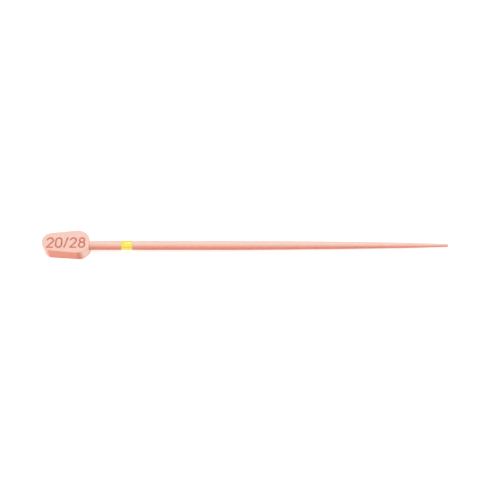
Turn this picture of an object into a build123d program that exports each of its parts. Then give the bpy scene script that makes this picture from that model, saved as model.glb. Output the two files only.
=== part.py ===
from build123d import *
import math
import os

# Root-canal obturation point of ISO size 20, in millimetres.
# +X runs along the point from its marking tab to its tip, +Z is up through the marked face.
# The origin is under the middle of the overall length, on the tab's lower face.

# Whole point
overall_length = 28.0
tip_x = overall_length / 2
tab_free_x = -overall_length / 2

# Taper: the tip is the stated size, and the rod grows quickly at first, then in two gentler steps
tip_diameter = 0.20
tip_taper = 0.058
tip_zone_length = 3.0
middle_taper = 0.031
middle_zone_length = 5.0
body_taper = 0.0171
shank_diameter = 0.64
tip_round = 0.06

# Marking tab: a flat drop shape, widest where the rod leaves it
tab_length = 3.26
tab_thickness = 1.1
tab_nose_half_width = 0.622
tab_top_half_width = 0.985
tab_base_half_width = 0.868
tab_nose_radius = 0.66
tab_top_corner_radius = 0.82
tab_base_corner_radius = 0.79
tab_edge_round = 0.05

# Butt of the rod: it narrows inside the tab, where two V-shaped grooves hold it
butt_depth = 1.7
butt_end_diameter = 0.55
butt_groove_count = 2
butt_groove_pitch = 0.55
butt_groove_depth = 0.09

# Colour band: a lacquer ring that fills a shallow seat around the shank and stands a hair proud
band_centre_from_tip = 22.20
band_width = 0.75
band_seat_depth = 0.02
band_proud = 0.006

# Engraved numerals: size, stroke, length
mark_centre_x = -12.33
mark_centre_y = -0.085
mark_cap_height = 0.83
mark_digit_width = 0.50
mark_slash_width = 0.30
mark_gap = 0.095
mark_stroke = 0.10
mark_depth = 0.07
ink_thickness = 0.025

# Worked out from the sizes above
axis_height = tab_thickness / 2
tab_rod_x = tab_free_x + tab_length
shank_radius = shank_diameter / 2
neck_diameter = tip_diameter + tip_taper * tip_zone_length
neck_x = tip_x - tip_zone_length
waist_diameter = neck_diameter + middle_taper * middle_zone_length
waist_x = neck_x - middle_zone_length
taper_start_x = waist_x - (shank_diameter - waist_diameter) / body_taper
butt_x = tab_rod_x - butt_depth
butt_slope = (shank_diameter - butt_end_diameter) / 2 / butt_depth
band_thickness = band_seat_depth + band_proud
band_centre_x = tip_x - band_centre_from_tip
rod_axis = Axis((0, 0, axis_height), (1, 0, 0))
rod_plane = Plane(origin=(0, 0, axis_height), x_dir=(1, 0, 0), z_dir=(0, -1, 0))


def tab_outline(height, rod_end_half_width, corner_radius):
    """Drop-shaped outline of the tab at one height."""
    with BuildSketch(Plane.XY.offset(height)) as outline:
        with BuildLine():
            Polyline(
                (tab_free_x, -tab_nose_half_width),
                (tab_rod_x, -rod_end_half_width),
                (tab_rod_x, rod_end_half_width),
                (tab_free_x, tab_nose_half_width),
                close=True,
            )
        make_face()
        fillet(outline.vertices().group_by(Axis.X)[0], tab_nose_radius)
        fillet(outline.vertices().group_by(Axis.X)[-1], corner_radius)
    return outline.sketch


def straight_stroke(start, end):
    """One straight cut of the round-nosed engraving tool."""
    middle = ((start[0] + end[0]) / 2, (start[1] + end[1]) / 2)
    SlotCenterPoint(middle, end, mark_stroke)


def curved_stroke(centre, radius, start_angle, sweep):
    """One cut along an arc, with round ends."""
    with BuildLine(mode=Mode.PRIVATE):
        arc = CenterArc(centre, radius, start_angle, sweep)
    SlotArc(arc, mark_stroke)


def ring_stroke(centre, radius):
    """One closed round cut."""
    with Locations(centre):
        Circle(radius + mark_stroke / 2)
        Circle(radius - mark_stroke / 2, mode=Mode.SUBTRACT)


# Half the width and height between the middles of the outer strokes
reach_x = (mark_digit_width - mark_stroke) / 2
reach_y = (mark_cap_height - mark_stroke) / 2
hook_start_angle = 165


def digit_two(x, y):
    """Hooked top, a diagonal that leaves the hook at a tangent, and a flat base."""
    hook_y = y + reach_y - reach_x
    foot = (x - reach_x, y - reach_y)
    foot_to_hook = math.hypot(reach_x, hook_y - foot[1])
    rise = math.degrees(math.atan2(hook_y - foot[1], reach_x))
    rise -= math.degrees(math.asin(reach_x / foot_to_hook))
    hook_end_angle = rise - 90
    hook_end = (
        x + reach_x * math.cos(math.radians(hook_end_angle)),
        hook_y + reach_x * math.sin(math.radians(hook_end_angle)),
    )
    curved_stroke((x, hook_y), reach_x, hook_start_angle, hook_end_angle - hook_start_angle)
    straight_stroke(foot, hook_end)
    straight_stroke(foot, (x + reach_x, foot[1]))


def digit_zero(x, y):
    """Two straight sides joined by half circles."""
    straight = reach_y - reach_x
    for side in (-1, 1):
        straight_stroke((x + side * reach_x, y - straight), (x + side * reach_x, y + straight))
        curved_stroke((x, y + side * straight), reach_x, 0, side * 180)


def digit_eight(x, y):
    """A smaller ring standing on a larger one."""
    upper_radius = (2 * reach_y - 2 * reach_x) / 2
    ring_stroke((x, y + reach_y - upper_radius), upper_radius)
    ring_stroke((x, y - reach_y + reach_x), reach_x)


def slash(x, y):
    """Dividing stroke between the size and the length."""
    lean = (mark_slash_width - mark_stroke) / 2
    straight_stroke((x - lean, y - reach_y), (x + lean, y + reach_y))


mark_glyphs = [
    (digit_two, mark_digit_width),
    (digit_zero, mark_digit_width),
    (slash, mark_slash_width),
    (digit_two, mark_digit_width),
    (digit_eight, mark_digit_width),
]
mark_length = sum(width for _, width in mark_glyphs) + mark_gap * (len(mark_glyphs) - 1)


def mark_strokes(height):
    """All the numerals, side by side along the tab, at one height."""
    with BuildSketch(Plane.XY.offset(height)) as strokes:
        edge = mark_centre_x - mark_length / 2
        for glyph, width in mark_glyphs:
            glyph(edge + width / 2, mark_centre_y)
            edge += width + mark_gap
    return strokes.sketch


os.makedirs("parts", exist_ok=True)

# Tapered filling rod, from its grooved butt inside the tab, past the band's seat, to its rounded tip
with BuildPart() as gutta_percha_point:
    with BuildSketch(rod_plane):
        with BuildLine():
            Polyline(
                (butt_x, 0),
                (butt_x, butt_end_diameter / 2),
                (tab_rod_x, shank_radius),
                (taper_start_x, shank_radius),
                (waist_x, waist_diameter / 2),
                (neck_x, neck_diameter / 2),
                (tip_x, tip_diameter / 2),
                (tip_x, 0),
                close=True,
            )
        make_face()
    revolve(axis=rod_axis)
    fillet(gutta_percha_point.edges().sort_by(Axis.X)[-1], tip_round)
    with BuildSketch(rod_plane):
        for index in range(butt_groove_count):
            groove_offset = (index + 1) * butt_groove_pitch
            groove_radius = butt_end_diameter / 2 + butt_slope * groove_offset
            with Locations((butt_x + groove_offset, groove_radius)):
                RegularPolygon(butt_groove_depth, side_count=4)
        with Locations((band_centre_x, shank_radius)):
            Rectangle(band_width, 2 * band_seat_depth)
    revolve(axis=rod_axis, mode=Mode.SUBTRACT)

# Flat tab moulded around the butt, with the numerals sunk into its upper face
with BuildPart() as id_tab:
    base = tab_outline(0, tab_base_half_width, tab_base_corner_radius)
    top = tab_outline(tab_thickness, tab_top_half_width, tab_top_corner_radius)
    loft([base, top])
    faces_by_height = id_tab.faces().filter_by(Axis.Z).sort_by(Axis.Z)
    fillet(faces_by_height[0].edges() + faces_by_height[-1].edges(), tab_edge_round)
    add(gutta_percha_point.part, mode=Mode.SUBTRACT)
    extrude(mark_strokes(tab_thickness), amount=-mark_depth, mode=Mode.SUBTRACT)

# Coloured filling at the bottom of the engraved strokes, one solid for each numeral
with BuildPart() as numeral_ink:
    extrude(mark_strokes(tab_thickness - mark_depth), amount=ink_thickness)

# Lacquer ring that shows the size by its colour
with BuildPart() as size_band:
    with BuildSketch(rod_plane):
        with Locations((band_centre_x, shank_radius + band_proud - band_thickness / 2)):
            Rectangle(band_width, band_thickness)
    revolve(axis=rod_axis)

gutta_percha_point.part.label = "gutta_percha_point"
export_step(gutta_percha_point.part, "parts/gutta_percha_point.step")
id_tab.part.label = "id_tab"
export_step(id_tab.part, "parts/id_tab.step")
numeral_ink.part.label = "numeral_ink"
export_step(numeral_ink.part, "parts/numeral_ink.step")
size_band.part.label = "size_band"
export_step(size_band.part, "parts/size_band.step")
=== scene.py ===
import math

import bmesh
import bpy
import numpy as np
from mathutils import Matrix, Vector


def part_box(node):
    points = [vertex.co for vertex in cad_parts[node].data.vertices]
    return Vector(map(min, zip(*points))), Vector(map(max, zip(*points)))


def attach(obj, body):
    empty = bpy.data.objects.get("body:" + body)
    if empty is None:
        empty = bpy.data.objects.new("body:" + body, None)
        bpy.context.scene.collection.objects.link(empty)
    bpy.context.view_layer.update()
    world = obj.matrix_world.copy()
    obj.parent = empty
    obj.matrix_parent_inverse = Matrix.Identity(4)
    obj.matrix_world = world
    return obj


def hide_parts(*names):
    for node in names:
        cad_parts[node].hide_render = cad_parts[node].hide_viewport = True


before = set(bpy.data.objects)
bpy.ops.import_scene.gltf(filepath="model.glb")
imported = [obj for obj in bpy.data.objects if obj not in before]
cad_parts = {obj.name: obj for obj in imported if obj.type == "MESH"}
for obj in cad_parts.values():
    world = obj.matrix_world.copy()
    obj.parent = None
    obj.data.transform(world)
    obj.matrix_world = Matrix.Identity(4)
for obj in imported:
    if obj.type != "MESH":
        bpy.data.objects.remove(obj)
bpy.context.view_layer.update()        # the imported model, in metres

# Pieces are made in millimetres and shrunk to metres when they are finished.
# +X runs from the marking tab to the tip, +Z is the marked side.
mm = 0.001
calc = "ShaderNodeMath"


def boxInMm(node):
    low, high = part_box(node)
    return Vector(low) / mm, Vector(high) / mm


tabLow, tabHigh = boxInMm("id_tab")
rodLow, rodHigh = boxInMm("gutta_percha_point")
bandLow, bandHigh = boxInMm("size_band")
inkLow, inkHigh = boxInMm("numeral_ink")
axisHeight = (rodLow.z + rodHigh.z) / 2
shankRadius = (rodHigh.z - rodLow.z) / 2
print("frame loaded, overall length", round(rodHigh.x - tabLow.x, 2), "mm")


def hexColour(code):
    # sRGB hex to the linear values that shaders take
    parts = [int(code[i:i + 2], 16) / 255 for i in (1, 3, 5)]
    linear = [p / 12.92 if p <= 0.04045 else ((p + 0.055) / 1.055) ** 2.4 for p in parts]
    return (*linear, 1.0)


def addNode(tree, kind, inputs=None, out=0, **settings):
    # inputs: values in socket order, or by socket name; a node's output given as a value is linked
    node = tree.nodes.new(kind)
    for key, value in settings.items():
        setattr(node, key, value)
    if isinstance(inputs, tuple):
        inputs = dict(enumerate(inputs))
    for key, value in (inputs or {}).items():
        if isinstance(value, bpy.types.NodeSocket):
            tree.links.new(value, node.inputs[key])
        else:
            node.inputs[key].default_value = value
    return node.outputs[out]


def newTree(name, sockets):
    # a geometry tree with named inputs, and the sockets that bring them in
    tree = bpy.data.node_groups.new(name, "GeometryNodeTree")
    tree.interface.new_socket("Geometry", in_out="OUTPUT", socket_type="NodeSocketGeometry")
    for kind, labels in sockets.items():
        for label in labels:
            tree.interface.new_socket(label, in_out="INPUT", socket_type="NodeSocket" + kind)
    return tree, tree.nodes.new("NodeGroupInput").outputs


def endTree(tree, geometry, material):
    real = addNode(tree, "GeometryNodeRealizeInstances", {"Geometry": geometry})
    smooth = addNode(tree, "GeometryNodeSetShadeSmooth", {"Geometry": real})
    painted = addNode(tree, "GeometryNodeSetMaterial", {"Geometry": smooth, "Material": material})
    tree.links.new(painted, tree.nodes.new("NodeGroupOutput").inputs[0])


def unevenness(tree, place, size, height, seed):
    # slow rises and dips of a surface, from -height / 2 to height / 2
    waves = addNode(tree, "ShaderNodeTexNoise", {
        "Vector": place, "W": seed, "Scale": addNode(tree, calc, (1.0, size), operation="DIVIDE"),
        "Detail": 2.0}, noise_dimensions="4D")
    level = addNode(tree, calc, (waves, 0.5), operation="SUBTRACT")
    return addNode(tree, calc, (level, height), operation="MULTIPLY")


def bakeTree(tree, values, source=None):
    # runs a tree on a throwaway object and returns the result as a plain mesh
    holder = bpy.data.objects.new("holder", source or bpy.data.meshes.new("empty"))
    bpy.context.scene.collection.objects.link(holder)
    modifier = holder.modifiers.new("nodes", "NODES")
    modifier.node_group = tree
    for item in tree.interface.items_tree:
        if item.in_out == "INPUT" and item.name in values:
            modifier[item.identifier] = values[item.name]
    depsgraph = bpy.context.evaluated_depsgraph_get()
    mesh = bpy.data.meshes.new_from_object(
        holder.evaluated_get(depsgraph), preserve_all_data_layers=True, depsgraph=depsgraph)
    holder.modifiers.remove(modifier)
    bpy.data.objects.remove(holder)
    return mesh


def finishPiece(name, mesh, node):
    # closes seams, turns faces outward, shrinks to metres, and puts the piece in its node's place
    shell = bmesh.new()
    shell.from_mesh(mesh)
    bmesh.ops.remove_doubles(shell, verts=shell.verts, dist=1e-5)
    bmesh.ops.recalc_face_normals(shell, faces=shell.faces)
    shell.to_mesh(mesh)
    shell.free()
    mesh.transform(Matrix.Scale(mm, 4))
    mesh.name = name
    piece = bpy.data.objects.new(name, mesh)
    bpy.context.scene.collection.objects.link(piece)
    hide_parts(node)
    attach(piece, "root")
    print("piece", name, len(mesh.polygons), "faces")


def newMaterial(name):
    material = bpy.data.materials.new(name)
    material.use_nodes = True
    tree = material.node_tree
    place = addNode(tree, "ShaderNodeTexCoord", out="Object")
    return material, tree, tree.nodes["Principled BSDF"].inputs, place


def patches(tree, place, sizeInMm, low=0.35, high=0.65, strength=1.0, detail=3.0):
    # cloudy patches of a real size, from 0 to strength; low and high set how hard their edges are
    cloud = addNode(tree, "ShaderNodeTexNoise", {
        "Vector": place, "Scale": 1 / (sizeInMm * mm), "Detail": detail})
    return addNode(tree, "ShaderNodeMapRange", {
        "Value": cloud, "From Min": low, "From Max": high, "To Max": strength})


compound = {
    "ior": 1.54,                # gutta-percha is 1.52, its zinc oxide raises it a little
    "specular": 0.28,
    "scatter": (1.0, 0.42, 0.30),
    "scatterWeight": 0.25,
    "scatterDepth": 0.10,       # mm, shallow because the compound is three quarters filler
    "paintedLight": "#F7E8DE",
    "paintedSheenStarts": -0.35,      # part of the normal towards the light, from which the painted sheen starts
    "paintedSheenFull": 1.0,
    "paintedShade": "#B04A33",          # painted shade, for the side turned away from the light
    "paintedShadeStarts": -0.45,        # the same part of the normal, where the painted shade starts
    "paintedShadeFull": -0.85,
    "paintedShadeStrength": 0.9,
}


def paintedLight(tree, base, amount):
    # painted light over a colour: a painted sheen, paler where the surface faces the lights and on round
    # ends, and painted shade, deeper, on the side turned away from them
    normal = addNode(tree, "ShaderNodeNewGeometry", out="Normal")
    facing = addNode(tree, "ShaderNodeVectorMath", (normal,), operation="ABSOLUTE")
    turned = addNode(tree, "ShaderNodeVectorMath", (normal, amount["from"]), out="Value",
                     operation="DOT_PRODUCT")
    sheenFacingLight = addNode(tree, "ShaderNodeMapRange", {
        "Value": turned, "From Min": compound["paintedSheenStarts"], "From Max": compound["paintedSheenFull"],
        "To Max": amount["sheenFacingLight"]}, interpolation_type="SMOOTHSTEP")
    paintedShade = addNode(tree, "ShaderNodeMapRange", {
        "Value": turned, "From Min": compound["paintedShadeStarts"], "From Max": compound["paintedShadeFull"],
        "To Max": compound["paintedShadeStrength"]}, interpolation_type="SMOOTHSTEP")
    sheenOnEnds = addNode(tree, "ShaderNodeMapRange", {
        "Value": addNode(tree, "ShaderNodeSeparateXYZ", (facing,), out="X"),
        "From Min": amount["endStarts"], "From Max": amount["endFull"], "To Max": amount["sheenOnEnds"]},
        interpolation_type="SMOOTHSTEP")
    both = addNode(tree, calc, (sheenFacingLight, sheenOnEnds), operation="MAXIMUM")
    withPaintedShade = addNode(tree, "ShaderNodeMix", {0: paintedShade, 6: base, 7: hexColour(compound["paintedShade"])},
                   out=2, data_type="RGBA")
    return addNode(tree, "ShaderNodeMix", {0: both, 6: withPaintedShade, 7: hexColour(compound["paintedLight"])},
                   out=2, data_type="RGBA")


def setCompound(shader):
    shader["IOR"].default_value = compound["ior"]
    shader["Specular IOR Level"].default_value = compound["specular"]
    shader["Subsurface Weight"].default_value = compound["scatterWeight"]
    shader["Subsurface Radius"].default_value = compound["scatter"]
    shader["Subsurface Scale"].default_value = compound["scatterDepth"] * mm


rodFinish = {
    "colour": "#DF7E63",
    "pale": "#E48B72",
    "deep": "#D27056",
    # painted light: the direction it comes from, and how pale the painted sheen makes the facing side and
    # round ends
    "paintedLight": {"from": (0, 0.5, 0.87), "sheenFacingLight": 0.66, "sheenOnEnds": 0.0, "endStarts": 0.5, "endFull": 1.0},
    "clump": 0.16,              # mm, clumps of filler
    "drawLine": 0.05,           # mm, marks from rolling
    "drawStretch": 0.06,        # the marks are this much finer across than along
    "drawEdges": (0.45, 0.75),
    "drawStrength": 0.35,
    "roughness": (0.40, 0.50),
    "bump": 0.0016,             # mm
}


def rolledCompound():
    # gutta-percha filled with zinc oxide, hand rolled: a waxy satin pink with faint marks along its length
    material, tree, shader, place = newMaterial("gutta-percha compound, rolled")
    clumps = patches(tree, place, rodFinish["clump"])
    along = addNode(tree, "ShaderNodeMapping", {"Vector": place, "Scale": (rodFinish["drawStretch"], 1, 1)})
    lines = patches(tree, along, rodFinish["drawLine"], *rodFinish["drawEdges"], rodFinish["drawStrength"])
    base = addNode(tree, "ShaderNodeMix", {
        0: clumps, 6: hexColour(rodFinish["colour"]), 7: hexColour(rodFinish["pale"])},
        out=2, data_type="RGBA")
    colour = addNode(tree, "ShaderNodeMix", {0: lines, 6: base, 7: hexColour(rodFinish["deep"])},
                     out=2, data_type="RGBA")
    # the base colour gets a painted sheen on the side towards the lights and painted shade underneath
    tree.links.new(paintedLight(tree, colour, rodFinish["paintedLight"]), shader["Base Color"])
    rough = addNode(tree, "ShaderNodeMapRange", {
        "Value": clumps, "To Min": rodFinish["roughness"][0], "To Max": rodFinish["roughness"][1]})
    tree.links.new(rough, shader["Roughness"])
    height = addNode(tree, calc, (clumps, lines), operation="ADD")
    bump = addNode(tree, "ShaderNodeBump", {"Height": height, "Distance": rodFinish["bump"] * mm})
    tree.links.new(bump, shader["Normal"])
    setCompound(shader)
    return material


tabFinish = {
    "colour": "#DF8064",
    "pale": "#E58F77",
    "pink": "#E27E6D",
    "cream": "#E08A6B",
    # painted light: the direction it comes from, and how pale the painted sheen makes the top and round ends
    "paintedLight": {"from": (0, 0, 1), "sheenFacingLight": 0.59, "sheenOnEnds": 0.60, "endStarts": 0.15, "endFull": 0.6},
    "shadeLine": "#CB6C52",          # painted shade: a darker line where the flat side meets the round corner
    "shadeLineStart": 0.87,          # mm back from the rod end of the tab, sharp on this side
    "shadeLinePeak": 0.79,
    "shadeLineEnd": 0.41,            # and soft on this one
    "shadeLineStrength": 0.55,
    "wallFull": 0.3,            # upward part of the normal, up to which the line shows fully
    "wallNone": 0.5,            # and from which it doesn't show
    "granule": 0.13,            # mm, pressed granules
    "tintSize": 0.18,
    "tintEdges": (0.4, 0.6),
    "tintStrength": 0.5,
    "grain": 0.035,             # mm, mould texture, drawn coarse enough to show
    "roughness": (0.44, 0.58),
    "bump": 0.003,              # mm
}


def paintedShadeLine(tree, place):
    # painted shade: a deeper line down each long side, where its corner starts
    start, peak, end = ((tabHigh.x - tabFinish[key]) * mm for key in ("shadeLineStart", "shadeLinePeak", "shadeLineEnd"))
    x = addNode(tree, "ShaderNodeSeparateXYZ", (place,), out="X")
    rise = addNode(tree, "ShaderNodeMapRange", {
        "Value": x, "From Min": start, "From Max": peak}, interpolation_type="SMOOTHSTEP")
    fall = addNode(tree, "ShaderNodeMapRange", {
        "Value": x, "From Min": peak, "From Max": end, "To Min": tabFinish["shadeLineStrength"], "To Max": 0.0},
        interpolation_type="SMOOTHSTEP")
    normal = addNode(tree, "ShaderNodeNewGeometry", out="Normal")
    facing = addNode(tree, "ShaderNodeVectorMath", (normal,), operation="ABSOLUTE")
    side = addNode(tree, "ShaderNodeMapRange", {
        "Value": addNode(tree, "ShaderNodeSeparateXYZ", (facing,), out="Z"),
        "From Min": tabFinish["wallFull"], "From Max": tabFinish["wallNone"], "To Min": 1.0, "To Max": 0.0})
    across = addNode(tree, calc, (rise, fall), operation="MULTIPLY")
    return addNode(tree, calc, (across, side), operation="MULTIPLY")


def mouldedCompound():
    # the same compound pressed in a mould: drier and more matt, mottled pink and cream where granules met
    material, tree, shader, place = newMaterial("gutta-percha compound, moulded")
    granules = patches(tree, place, tabFinish["granule"])
    tints = patches(tree, place, tabFinish["tintSize"], *tabFinish["tintEdges"])
    grain = patches(tree, place, tabFinish["grain"], detail=2.0)
    base = addNode(tree, "ShaderNodeMix", {
        0: granules, 6: hexColour(tabFinish["colour"]), 7: hexColour(tabFinish["pale"])},
        out=2, data_type="RGBA")
    tint = addNode(tree, "ShaderNodeMix", {
        0: tints, 6: hexColour(tabFinish["pink"]), 7: hexColour(tabFinish["cream"])},
        out=2, data_type="RGBA")
    colour = addNode(tree, "ShaderNodeMix", {0: tabFinish["tintStrength"], 6: base, 7: tint},
                     out=2, data_type="RGBA")
    # painted shade line on the walls, over painted sheen on top and round ends and painted shade underneath
    withShadeLine = addNode(tree, "ShaderNodeMix", {
        0: paintedShadeLine(tree, place), 6: paintedLight(tree, colour, tabFinish["paintedLight"]),
        7: hexColour(tabFinish["shadeLine"])}, out=2, data_type="RGBA")
    tree.links.new(withShadeLine, shader["Base Color"])
    rough = addNode(tree, "ShaderNodeMapRange", {
        "Value": grain, "To Min": tabFinish["roughness"][0], "To Max": tabFinish["roughness"][1]})
    tree.links.new(rough, shader["Roughness"])
    height = addNode(tree, calc, (granules, grain), operation="ADD")
    bump = addNode(tree, "ShaderNodeBump", {"Height": height, "Distance": tabFinish["bump"] * mm})
    tree.links.new(bump, shader["Normal"])
    setCompound(shader)
    return material


bandFinish = {
    "colour": "#F1DA3A",
    "thin": "#F1E06A",
    "cloud": 0.18,              # mm, uneven pigment
    "cloudEdges": (0.45, 0.75),
    "cloudStrength": 0.4,
    "stroke": 0.04,             # mm, brush marks around the rod
    "strokeStretch": 0.15,
    "roughness": (0.18, 0.26),
    "ior": 1.50,
    "coat": 0.8,                # the clear top of the lacquer, over its pigment
    "coatRoughness": 0.08,
    "bump": 0.0006,             # mm
}


def bandLacquer():
    # yellow cellulose lacquer, brushed on while the rod turned: glossy, thinner in places
    material, tree, shader, place = newMaterial("cellulose lacquer, brushed band")
    cloud = patches(tree, place, bandFinish["cloud"], *bandFinish["cloudEdges"], bandFinish["cloudStrength"])
    around = addNode(tree, "ShaderNodeMapping", {
        "Vector": place, "Scale": (1, bandFinish["strokeStretch"], bandFinish["strokeStretch"])})
    brush = patches(tree, around, bandFinish["stroke"])
    colour = addNode(tree, "ShaderNodeMix", {
        0: cloud, 6: hexColour(bandFinish["colour"]), 7: hexColour(bandFinish["thin"])},
        out=2, data_type="RGBA")
    tree.links.new(colour, shader["Base Color"])
    rough = addNode(tree, "ShaderNodeMapRange", {
        "Value": brush, "To Min": bandFinish["roughness"][0], "To Max": bandFinish["roughness"][1]})
    tree.links.new(rough, shader["Roughness"])
    bump = addNode(tree, "ShaderNodeBump", {"Height": brush, "Distance": bandFinish["bump"] * mm})
    tree.links.new(bump, shader["Normal"])
    shader["IOR"].default_value = bandFinish["ior"]
    shader["Coat Weight"].default_value = bandFinish["coat"]
    shader["Coat Roughness"].default_value = bandFinish["coatRoughness"]
    shader["Coat IOR"].default_value = bandFinish["ior"]
    return material


inkFinish = {
    "colour": "#CC6650",
    "faded": "#DA7C66",
    "patch": 0.09,              # mm
    "roughness": 0.72,
    "bump": 0.002,              # mm
}


def numeralPigment():
    # red-brown pigment paste wiped into the engraving: matt, thin in patches
    material, tree, shader, place = newMaterial("pigment paste, wiped into engraving")
    patch = patches(tree, place, inkFinish["patch"])
    colour = addNode(tree, "ShaderNodeMix", {
        0: patch, 6: hexColour(inkFinish["colour"]), 7: hexColour(inkFinish["faded"])},
        out=2, data_type="RGBA")
    tree.links.new(colour, shader["Base Color"])
    bump = addNode(tree, "ShaderNodeBump", {"Height": patch, "Distance": inkFinish["bump"] * mm})
    tree.links.new(bump, shader["Normal"])
    shader["Roughness"].default_value = inkFinish["roughness"]
    return material


cardFinish = {
    "colour": "#C6C6C5",
    "pale": "#CBCBCA",
    "tooth": 1.2,               # mm
    "roughness": 0.9,
    "glow": 0.63,               # light that comes through from the box under it
}


def litCard():
    # translucent white card over a light box: even, matt, a faint tooth
    material, tree, shader, place = newMaterial("card, matt white, lit from below")
    tooth = patches(tree, place, cardFinish["tooth"])
    colour = addNode(tree, "ShaderNodeMix", {
        0: tooth, 6: hexColour(cardFinish["colour"]), 7: hexColour(cardFinish["pale"])},
        out=2, data_type="RGBA")
    tree.links.new(colour, shader["Base Color"])
    shader["Roughness"].default_value = cardFinish["roughness"]
    shader["Emission Color"].default_value = hexColour("#FFFFFF")
    shader["Emission Strength"].default_value = cardFinish["glow"]
    return material


rod = {
    "tipDiameter": 0.20,        # ISO size 20
    "tipTaper": 0.058,          # mm of diameter for each mm from the tip
    "tipZone": 3.0,
    "middleTaper": 0.031,
    "middleZone": 5.0,
    "bodyTaper": 0.0171,
    "blend": 0.03,              # how softly one taper runs into the next
    "tipRound": 0.07,
    "endRadius": 0.0005,        # the pole that closes the tip
    "steps": 560,
    "sides": 56,
    "spacing": 2.2,             # above 1, cross-sections crowd towards the tip
    "waveSize": 2.6,            # mm, slight unevenness from rolling
    "waveHeight": 0.006,
    "seed": 3.0,
}


def rodTree():
    tree, given = newTree("taperedRod", {
        "Float": ("Tip X", "Length", "Axis Height", "Tip Diameter", "Tip Taper", "Tip Zone",
                  "Middle Taper", "Middle Zone", "Body Taper", "Shank Diameter", "Blend", "Tip Round",
                  "End Radius", "Spacing", "Wave Size", "Wave Height", "Seed"),
        "Int": ("Steps", "Sides"), "Material": ("Material",)})

    # a straight path from the tip back to the butt
    line = addNode(tree, "GeometryNodeCurvePrimitiveLine")
    path = addNode(tree, "GeometryNodeResampleCurve", {"Curve": line, "Count": given["Steps"]})
    share = addNode(tree, "GeometryNodeSplineParameter", out="Factor")
    crowded = addNode(tree, calc, (share, given["Spacing"]), operation="POWER")
    back = addNode(tree, calc, (crowded, given["Length"]), operation="MULTIPLY")
    x = addNode(tree, calc, (given["Tip X"], back), operation="SUBTRACT")
    place = addNode(tree, "ShaderNodeCombineXYZ", {"X": x, "Z": given["Axis Height"]})
    laid = addNode(tree, "GeometryNodeSetPosition", {"Geometry": path, "Position": place})

    # the thickness is the least of four rules: the shank and three tapers, each from where the last ends
    here = addNode(tree, "GeometryNodeInputPosition")
    hereX = addNode(tree, "ShaderNodeSeparateXYZ", (here,))
    fromTip = addNode(tree, calc, (given["Tip X"], hereX), operation="SUBTRACT")
    past, start, thick = fromTip, given["Tip Diameter"], given["Shank Diameter"]
    for part in ("Tip", "Middle", "Body"):
        taper = given[part + " Taper"]
        rule = addNode(tree, calc, (past, taper, start), operation="MULTIPLY_ADD")
        thick = addNode(tree, calc, (thick, rule, given["Blend"]), operation="SMOOTH_MIN")
        if part != "Body":
            zone = given[part + " Zone"]
            past = addNode(tree, calc, (past, zone), operation="SUBTRACT")
            start = addNode(tree, calc, (zone, taper, start), operation="MULTIPLY_ADD")

    # the very end is rounded off like a quarter circle
    nearTip = addNode(tree, calc, (fromTip, given["Tip Round"]), operation="DIVIDE", use_clamp=True)
    away = addNode(tree, calc, (1.0, nearTip), operation="SUBTRACT")
    awaySquared = addNode(tree, calc, (away, away), operation="MULTIPLY")
    rest = addNode(tree, calc, (1.0, awaySquared), operation="SUBTRACT")
    dome = addNode(tree, calc, (rest,), operation="SQRT")
    half = addNode(tree, calc, (thick, 0.5), operation="MULTIPLY")
    domed = addNode(tree, calc, (half, dome), operation="MULTIPLY")
    radius = addNode(tree, calc, (domed, given["End Radius"]), operation="MAXIMUM")
    circle = addNode(tree, "GeometryNodeCurvePrimitiveCircle", {"Resolution": given["Sides"], "Radius": 1.0})
    tube = addNode(tree, "GeometryNodeCurveToMesh", {
        "Curve": laid, "Profile Curve": circle, "Scale": radius, "Fill Caps": True})

    lift = unevenness(tree, here, given["Wave Size"], given["Wave Height"], given["Seed"])
    outward = addNode(tree, "GeometryNodeInputNormal")
    offset = addNode(tree, "ShaderNodeVectorMath", {0: outward, "Scale": lift}, operation="SCALE")
    uneven = addNode(tree, "GeometryNodeSetPosition", {"Geometry": tube, "Offset": offset})
    endTree(tree, uneven, given["Material"])
    return tree


def makeRod(material):
    mesh = bakeTree(rodTree(), {
        "Tip X": rodHigh.x, "Length": rodHigh.x - rodLow.x, "Axis Height": axisHeight,
        "Tip Diameter": rod["tipDiameter"], "Tip Taper": rod["tipTaper"], "Tip Zone": rod["tipZone"],
        "Middle Taper": rod["middleTaper"], "Middle Zone": rod["middleZone"],
        "Body Taper": rod["bodyTaper"], "Shank Diameter": 2 * shankRadius, "Blend": rod["blend"],
        "Tip Round": rod["tipRound"], "End Radius": rod["endRadius"], "Spacing": rod["spacing"],
        "Steps": rod["steps"], "Sides": rod["sides"], "Wave Size": rod["waveSize"],
        "Wave Height": rod["waveHeight"], "Seed": rod["seed"], "Material": material})
    finishPiece("guttaPerchaPoint", mesh, "gutta_percha_point")


# Numerals: the engraving and its filling both follow the same strokes.
mark = {
    "stroke": 0.10,
    "digitWidth": 0.50,
    "slashWidth": 0.30,
    "gap": 0.095,
    "depth": tabHigh.z - inkLow.z,
    "shoulder": 0.022,          # width over which the groove's edge rolls in
    "arcStep": 6,               # degrees
    "hookStart": 165,           # degrees, where the 2 begins
}
markCentreY = (inkLow.y + inkHigh.y) / 2
reachX = (mark["digitWidth"] - mark["stroke"]) / 2
reachY = (inkHigh.y - inkLow.y - mark["stroke"]) / 2


def arcPoints(x, y, radius, start, sweep):
    count = max(2, round(abs(sweep) / mark["arcStep"]))
    angles = [math.radians(start + sweep * i / count) for i in range(count + 1)]
    return [(x + radius * math.cos(a), y + radius * math.sin(a)) for a in angles]


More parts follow.
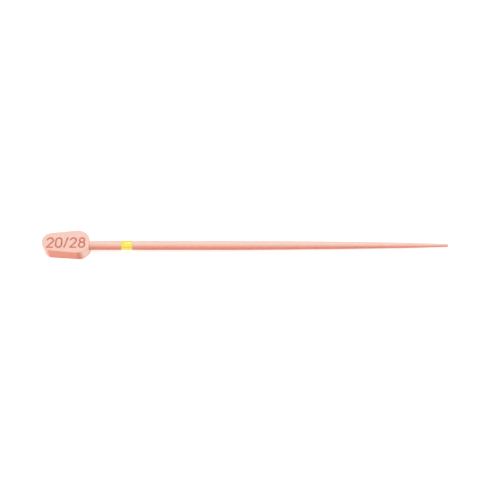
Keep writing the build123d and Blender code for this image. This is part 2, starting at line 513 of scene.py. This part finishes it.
def digitTwo(x, y):
    # hooked top, a diagonal that leaves the hook at a tangent, a flat base
    hookY = y + reachY - reachX
    foot = (x - reachX, y - reachY)
    reach = math.hypot(reachX, hookY - foot[1])
    rise = math.degrees(math.atan2(hookY - foot[1], reachX) - math.asin(reachX / reach))
    hook = arcPoints(x, hookY, reachX, mark["hookStart"], rise - 90 - mark["hookStart"])
    return [(hook + [foot], False), ([foot, (x + reachX, foot[1])], False)]


def digitZero(x, y):
    straight = reachY - reachX
    lower = arcPoints(x, y - straight, reachX, 180, 180)
    upper = arcPoints(x, y + straight, reachX, 0, 180)
    return [(lower + upper, True)]


def digitEight(x, y):
    upper = reachY - reachX
    rings = ((y + reachY - upper, upper), (y - reachY + reachX, reachX))
    return [(arcPoints(x, ringY, radius, 0, 360)[:-1], True) for ringY, radius in rings]


def slash(x, y):
    lean = (mark["slashWidth"] - mark["stroke"]) / 2
    return [([(x - lean, y - reachY), (x + lean, y + reachY)], False)]


def strokeCurve():
    # size, stroke, length, set side by side on the marked face
    glyphs = [(digitTwo, mark["digitWidth"]), (digitZero, mark["digitWidth"]),
              (slash, mark["slashWidth"]), (digitTwo, mark["digitWidth"]), (digitEight, mark["digitWidth"])]
    curve = bpy.data.curves.new("strokes", "CURVE")
    curve.dimensions = "3D"
    edge = inkLow.x
    for glyph, width in glyphs:
        for points, closed in glyph(edge + width / 2, markCentreY):
            spline = curve.splines.new("POLY")
            spline.points.add(len(points) - 1)
            for point, (x, y) in zip(spline.points, points):
                point.co = (x, y, tabHigh.z, 1)
            spline.use_cyclic_u = closed
        edge += width + mark["gap"]
    strokes = bpy.data.objects.new("strokes", curve)
    bpy.context.scene.collection.objects.link(strokes)
    return strokes


tab = {
    "noseHalfWidth": 0.622,     # where the straight sides would meet the free end
    "topHalfWidth": 0.985,      # and the rod end, at the marked face
    "baseHalfWidth": 0.868,
    "noseRadius": 0.66,
    "topCornerRadius": 0.82,
    "baseCornerRadius": 0.79,
    "edgeRound": 0.05,
    "outlineSteps": 160,        # points on each corner and each side
    "gridStep": 0.0125,
    "gridMargin": 0.02,         # the fine grid reaches this far past the numerals
    "topRings": 14,
    "wallRings": 34,
    "edgeRings": 6,
    "jointGap": 0.028,          # fine groove where the rod comes out
    "jointDepth": 0.05,
    "jointReach": 0.3,          # only this much of the tab, next to the rod, has the groove
    "waveSize": 0.55,           # mm, shallow sinks of a pressed surface
    "waveHeight": 0.009,
    "seed": 7.0,
}
tabLength = tabHigh.x - tabLow.x
tabThickness = tabHigh.z - tabLow.z
gridLow = Vector((inkLow.x - tab["gridMargin"], inkLow.y - tab["gridMargin"]))
gridHigh = Vector((inkHigh.x + tab["gridMargin"], inkHigh.y + tab["gridMargin"]))
gridCentre = np.array((gridLow + gridHigh) / 2)


def tabEdge(rodHalfWidth, cornerRadius, inset):
    # closed outline of the drop shape, drawn in by inset
    lean = math.atan2(rodHalfWidth - tab["noseHalfWidth"], tabLength)
    sine, cosine = math.sin(lean), math.cos(lean)
    nose = tab["noseRadius"]
    cornerY = rodHalfWidth - cornerRadius * (1 + sine) / cosine
    noseY = tab["noseHalfWidth"] - nose * (1 - sine) / cosine
    cornerTurn = np.linspace(0, math.pi / 2 + lean, tab["outlineSteps"])
    noseTurn = np.linspace(math.pi / 2 + lean, math.pi, tab["outlineSteps"])
    corner = np.c_[np.cos(cornerTurn), np.sin(cornerTurn)] * (cornerRadius - inset)
    corner += (tabHigh.x - cornerRadius, cornerY)
    front = np.c_[np.cos(noseTurn), np.sin(noseTurn)] * (nose - inset)
    front += (tabLow.x + nose, noseY)
    side = np.linspace(corner[-1], front[0], tab["outlineSteps"])[1:-1]
    upper = np.vstack([corner, side, front])
    return np.vstack([upper, upper[::-1] * (1, -1)])


def outlineReach(halfWidth, radius, inset, angles):
    # how far one outline is from the middle of the numerals, in each direction
    points = tabEdge(halfWidth, radius, inset) - gridCentre
    turn = np.arctan2(points[:, 1], points[:, 0])
    order = np.argsort(turn)
    return np.interp(angles, turn[order], np.hypot(*points.T)[order], period=2 * math.pi)


def tabMesh():
    # a fine grid under the numerals, and rings from its rim over the edge, down the wall and in underneath
    across = round((gridHigh.x - gridLow.x) / tab["gridStep"])
    down = round((gridHigh.y - gridLow.y) / tab["gridStep"])
    gridX, gridY = np.meshgrid(np.linspace(gridLow.x, gridHigh.x, across + 1),
                               np.linspace(gridLow.y, gridHigh.y, down + 1), indexing="ij")
    flat = np.c_[gridX.ravel(), gridY.ravel()]
    number = np.arange(len(flat)).reshape(across + 1, down + 1)
    rim = np.concatenate([number[:-1, 0], number[-1, :-1], number[:0:-1, -1], number[0, :0:-1]])
    angles = np.arctan2(flat[rim, 1] - gridCentre[1], flat[rim, 0] - gridCentre[0])
    direction = np.c_[np.cos(angles), np.sin(angles)]

    def outline(height, inset):
        share = (height - tabLow.z) / tabThickness
        top = outlineReach(tab["topHalfWidth"], tab["topCornerRadius"], inset, angles)
        base = outlineReach(tab["baseHalfWidth"], tab["baseCornerRadius"], inset, angles)
        return gridCentre + direction * (base + (top - base) * share)[:, None]

    edge = tab["edgeRound"]
    shares = [i / tab["topRings"] for i in range(1, tab["topRings"])]
    turns = [math.pi / 2 * i / tab["edgeRings"] for i in range(tab["edgeRings"] + 1)]
    wall = np.linspace(tabHigh.z - edge, tabLow.z + edge, tab["wallRings"])
    rimPlace, topOutline, baseOutline = flat[rim], outline(tabHigh.z, edge), outline(tabLow.z, edge)
    rings = [(rimPlace * (1 - share) + topOutline * share, tabHigh.z) for share in shares]
    for turn in turns:
        height = tabHigh.z - edge * (1 - math.cos(turn))
        rings.append((outline(height, edge * (1 - math.sin(turn))), height))
    rings += [(outline(height, 0), height) for height in wall[1:-1]]
    for turn in turns[::-1]:
        height = tabLow.z + edge * (1 - math.cos(turn))
        rings.append((outline(height, edge * (1 - math.sin(turn))), height))
    rings += [(rimPlace * (1 - share) + baseOutline * share, tabLow.z) for share in shares[::-1]]

    points = [np.c_[flat, np.full(len(flat), tabHigh.z)]]
    points += [np.c_[ring, np.full(len(ring), height)] for ring, height in rings]
    points.append(np.c_[flat, np.full(len(flat), tabLow.z)])
    quads = np.stack([number[:-1, :-1], number[1:, :-1], number[1:, 1:], number[:-1, 1:]], -1).reshape(-1, 4)
    under = len(flat) + len(rings) * len(rim)
    loops = [rim]
    loops += [len(flat) + i * len(rim) + np.arange(len(rim)) for i in range(len(rings))]
    loops.append(rim + under)
    bands = [np.stack([a, b, np.roll(b, -1), np.roll(a, -1)], -1) for a, b in zip(loops, loops[1:])]
    faces = np.vstack([quads, *bands, quads[:, ::-1] + under])
    mesh = bpy.data.meshes.new("tabBlank")
    mesh.from_pydata(np.vstack(points).tolist(), [], faces.tolist())
    return mesh


def tabTree():
    tree, given = newTree("engravedTab", {
        "Geometry": ("Blank",), "Object": ("Strokes",), "Material": ("Material",),
        "Float": ("Stroke Width", "Depth", "Shoulder", "Axis Height", "Rod Radius", "Rod End",
                  "Joint Gap", "Joint Depth", "Wave Size", "Wave Height", "Seed")})
    here = addNode(tree, "GeometryNodeInputPosition")

    # faint unevenness all over
    lift = unevenness(tree, here, given["Wave Size"], given["Wave Height"], given["Seed"])
    outward = addNode(tree, "GeometryNodeInputNormal")
    swell = addNode(tree, "ShaderNodeVectorMath", {0: outward, "Scale": lift}, operation="SCALE")
    uneven = addNode(tree, "GeometryNodeSetPosition", {"Geometry": given["Blank"], "Offset": swell})

    # the numerals, sunk where the surface is within half a stroke of a line
    lines = addNode(tree, "GeometryNodeObjectInfo", {"Object": given["Strokes"]}, out="Geometry")
    edges = addNode(tree, "GeometryNodeCurveToMesh", {"Curve": lines})
    near = addNode(tree, "GeometryNodeProximity", {"Geometry": edges, "Sample Position": here},
                   out="Distance", target_element="EDGES")
    half = addNode(tree, calc, (given["Stroke Width"], 0.5), operation="MULTIPLY")
    cut = addNode(tree, "ShaderNodeMapRange", {
        "Value": near, "To Min": 1.0, "To Max": 0.0,
        "From Min": addNode(tree, calc, (half, given["Shoulder"]), operation="SUBTRACT"),
        "From Max": addNode(tree, calc, (half, given["Shoulder"]), operation="ADD")},
        interpolation_type="SMOOTHSTEP")
    sink = addNode(tree, calc, (cut, given["Depth"]), operation="MULTIPLY")
    down = addNode(tree, "ShaderNodeVectorMath", {0: (0, 0, -1), "Scale": sink}, operation="SCALE")
    engraved = addNode(tree, "GeometryNodeSetPosition", {"Geometry": uneven, "Offset": down})

    # the fine groove around the rod, in the end wall only
    axisPoint = addNode(tree, "ShaderNodeCombineXYZ", {"Z": given["Axis Height"]})
    acrossHere = addNode(tree, "ShaderNodeVectorMath", (here, (0, 1, 1)), operation="MULTIPLY")
    fromAxis = addNode(tree, "ShaderNodeVectorMath", (acrossHere, axisPoint), out="Value",
                       operation="DISTANCE")
    collar = addNode(tree, "ShaderNodeMapRange", {
        "Value": fromAxis, "To Min": 1.0, "To Max": 0.0, "From Min": given["Rod Radius"],
        "From Max": addNode(tree, calc, (given["Rod Radius"], given["Joint Gap"]), operation="ADD")},
        interpolation_type="SMOOTHSTEP")
    hereX = addNode(tree, "ShaderNodeSeparateXYZ", (here,))
    atEnd = addNode(tree, calc, (hereX, given["Rod End"]), operation="GREATER_THAN")
    kept = addNode(tree, calc, (collar, atEnd), operation="MULTIPLY")
    inward = addNode(tree, calc, (kept, given["Joint Depth"]), operation="MULTIPLY")
    back = addNode(tree, "ShaderNodeVectorMath", {0: (-1, 0, 0), "Scale": inward}, operation="SCALE")
    joined = addNode(tree, "GeometryNodeSetPosition", {"Geometry": engraved, "Offset": back})
    endTree(tree, joined, given["Material"])
    return tree


def makeTab(material, strokes):
    mesh = bakeTree(tabTree(), {
        "Strokes": strokes, "Stroke Width": mark["stroke"], "Depth": mark["depth"],
        "Shoulder": mark["shoulder"], "Axis Height": axisHeight, "Rod Radius": shankRadius,
        "Rod End": tabHigh.x - tab["jointReach"], "Joint Gap": tab["jointGap"],
        "Joint Depth": tab["jointDepth"], "Wave Size": tab["waveSize"],
        "Wave Height": tab["waveHeight"], "Seed": tab["seed"], "Material": material}, tabMesh())
    finishPiece("markingTab", mesh, "id_tab")


ink = {
    "width": 0.094,
    "endSides": 24,
}


def inkTree():
    # a flat ribbon along every stroke and a disc at each open end, joined into one skin for each numeral
    tree, given = newTree("numeralInk", {
        "Object": ("Strokes",), "Float": ("Width", "Thickness", "Drop"), "Int": ("End Sides",),
        "Material": ("Material",)})
    lines = addNode(tree, "GeometryNodeObjectInfo", {"Object": given["Strokes"]}, out="Geometry")
    section = addNode(tree, "GeometryNodeCurvePrimitiveQuadrilateral", {
        "Width": given["Width"], "Height": given["Thickness"]})
    ribbon = addNode(tree, "GeometryNodeCurveToMesh", {
        "Curve": lines, "Profile Curve": section, "Fill Caps": True})
    ends = addNode(tree, "GeometryNodeCurveEndpointSelection")
    disc = addNode(tree, "GeometryNodeMeshCylinder", {
        "Vertices": given["End Sides"], "Depth": given["Thickness"],
        "Radius": addNode(tree, calc, (given["Width"], 0.5), operation="MULTIPLY")})
    discs = addNode(tree, "GeometryNodeInstanceOnPoints", {
        "Points": lines, "Selection": ends, "Instance": disc})
    realDiscs = addNode(tree, "GeometryNodeRealizeInstances", {"Geometry": discs})
    union = addNode(tree, "GeometryNodeMeshBoolean", {"Self Intersection": True},
                    operation="UNION", solver="EXACT")
    for part in (ribbon, realDiscs):
        tree.links.new(part, union.node.inputs["Mesh 2"])
    down = addNode(tree, "ShaderNodeVectorMath", {0: (0, 0, -1), "Scale": given["Drop"]}, operation="SCALE")
    lowered = addNode(tree, "GeometryNodeSetPosition", {"Geometry": union, "Offset": down})
    endTree(tree, lowered, given["Material"])
    return tree


def makeInk(material, strokes):
    mesh = bakeTree(inkTree(), {
        "Strokes": strokes, "Width": ink["width"], "Thickness": inkHigh.z - inkLow.z,
        "Drop": tabHigh.z - (inkLow.z + inkHigh.z) / 2, "End Sides": ink["endSides"], "Material": material})
    finishPiece("numeralInk", mesh, "numeral_ink")


band = {
    "seatDepth": 0.02,          # how far the lacquer reaches into the rod
    "edgeRound": 0.008,
    "edgeCount": 4,
    "sides": 96,
    "raggedSize": 0.25,         # mm
    "ragged": 0.012,            # mm, the brush's uneven edge
    "seed": 5.0,
}


def bandTree():
    # a thin rounded section carried around the shank
    tree, given = newTree("lacquerBand", {
        "Float": ("Middle X", "Width", "Inner Radius", "Outer Radius", "Axis Height", "Edge Round",
                  "Ragged Size", "Ragged", "Seed"),
        "Int": ("Edge Count", "Sides"), "Material": ("Material",)})
    thickness = addNode(tree, calc, (given["Outer Radius"], given["Inner Radius"]), operation="SUBTRACT")
    middle = addNode(tree, calc, (thickness, 0.5, given["Inner Radius"]), operation="MULTIPLY_ADD")
    circle = addNode(tree, "GeometryNodeCurvePrimitiveCircle", {
        "Resolution": given["Sides"], "Radius": middle})
    section = addNode(tree, "GeometryNodeCurvePrimitiveQuadrilateral", {
        "Width": thickness, "Height": given["Width"]})
    rounded = addNode(tree, "GeometryNodeFilletCurve", {
        "Curve": section, "Count": given["Edge Count"], "Radius": given["Edge Round"]}, mode="POLY")
    ring = addNode(tree, "GeometryNodeCurveToMesh", {"Curve": circle, "Profile Curve": rounded})
    turned = addNode(tree, "GeometryNodeTransform", {"Geometry": ring, "Rotation": (0, math.pi / 2, 0)})
    shift = addNode(tree, "ShaderNodeCombineXYZ", {"X": given["Middle X"], "Z": given["Axis Height"]})
    placed = addNode(tree, "GeometryNodeTransform", {"Geometry": turned, "Translation": shift})
    here = addNode(tree, "GeometryNodeInputPosition")
    slide = unevenness(tree, here, given["Ragged Size"], given["Ragged"], given["Seed"])
    offset = addNode(tree, "ShaderNodeCombineXYZ", {"X": slide})
    ragged = addNode(tree, "GeometryNodeSetPosition", {"Geometry": placed, "Offset": offset})
    endTree(tree, ragged, given["Material"])
    return tree


def makeBand(material):
    mesh = bakeTree(bandTree(), {
        "Middle X": (bandLow.x + bandHigh.x) / 2, "Width": bandHigh.x - bandLow.x,
        "Inner Radius": shankRadius - band["seatDepth"], "Outer Radius": (bandHigh.z - bandLow.z) / 2,
        "Axis Height": axisHeight, "Edge Round": band["edgeRound"], "Edge Count": band["edgeCount"],
        "Sides": band["sides"], "Ragged Size": band["raggedSize"], "Ragged": band["ragged"],
        "Seed": band["seed"], "Material": material})
    finishPiece("sizeBand", mesh, "size_band")


camera = {
    "elevation": 60,            # degrees above the table, square to the rod
    "lens": 70,
    "sensor": 36,
    "viewWidth": 33.86,         # mm across the picture at the rod
    "aimX": -0.05,
    "aimRise": 0.022,           # mm above the rod's axis, in the picture
}


def makeCamera():
    elevation = math.radians(camera["elevation"])
    back = Vector((0, -math.cos(elevation), math.sin(elevation)))
    up = Vector((0, math.sin(elevation), math.cos(elevation)))
    aim = Vector((camera["aimX"], 0, axisHeight)) + up * camera["aimRise"]
    distance = camera["viewWidth"] * camera["lens"] / camera["sensor"]
    data = bpy.data.cameras.new("camera")
    data.lens = camera["lens"]
    data.sensor_width = camera["sensor"]
    data.clip_start = mm
    data.clip_end = 10
    eye = bpy.data.objects.new("camera", data)
    eye.location = (aim + back * distance) * mm
    eye.rotation_mode = "QUATERNION"
    eye.rotation_quaternion = (-back).to_track_quat("-Z", "Y")
    bpy.context.scene.collection.objects.link(eye)
    bpy.context.scene.camera = eye


lights = {
    # place and size in mm, power in milliwatts
    "behind": {"place": (0, 80, 160), "size": 86, "power": 132},
    "front": {"place": (0, -95, 160), "size": 150, "power": 124},
    "rightSide": {"place": (150, -25, 45), "size": 60, "power": 28},
    "leftSide": {"place": (-150, -45, 45), "size": 60, "power": 46},
}
surround = {"colour": "#FFFFFF", "strength": 0.40}


def makeLights():
    for name, light in lights.items():
        data = bpy.data.lights.new(name, "AREA")
        data.shape = "SQUARE"
        data.size = light["size"] * mm
        data.energy = light["power"] * mm
        lamp = bpy.data.objects.new(name, data)
        lamp.location = Vector(light["place"]) * mm
        lamp.rotation_mode = "QUATERNION"
        lamp.rotation_quaternion = (-lamp.location).to_track_quat("-Z", "Y")
        bpy.context.scene.collection.objects.link(lamp)
    world = bpy.data.worlds.new("studio")
    world.use_nodes = True
    background = world.node_tree.nodes["Background"].inputs
    background["Color"].default_value = hexColour(surround["colour"])
    background["Strength"].default_value = surround["strength"]
    bpy.context.scene.world = world


floorHalf = 3000  # mm


def makeFloor(material):
    # the part rests on the tab's lower edge at the rod end, and on the rod where its last taper starts
    neckRadius = (rod["tipDiameter"] + rod["tipTaper"] * rod["tipZone"]) / 2
    neckX = rodHigh.x - rod["tipZone"]
    rise = (axisHeight - neckRadius - tabLow.z) / (neckX - tabHigh.x)
    corners = []
    for x, y in ((-1, -1), (1, -1), (1, 1), (-1, 1)):
        height = tabLow.z + (x * floorHalf - tabHigh.x) * rise
        corners.append((x * floorHalf * mm, y * floorHalf * mm, height * mm))
    mesh = bpy.data.meshes.new("floor")
    mesh.from_pydata(corners, [], [(0, 1, 2, 3)])
    mesh.materials.append(material)
    floor = bpy.data.objects.new("floor", mesh)
    bpy.context.scene.collection.objects.link(floor)


makeCamera()
makeLights()
makeFloor(litCard())
print("camera, lights and floor ready")

strokes = strokeCurve()
makeRod(rolledCompound())
makeTab(mouldedCompound(), strokes)
makeInk(numeralPigment(), strokes)
makeBand(bandLacquer())
bpy.data.objects.remove(strokes)

bpy.context.scene.view_settings.view_transform = "Standard"
bpy.context.scene.view_settings.exposure = 0.0
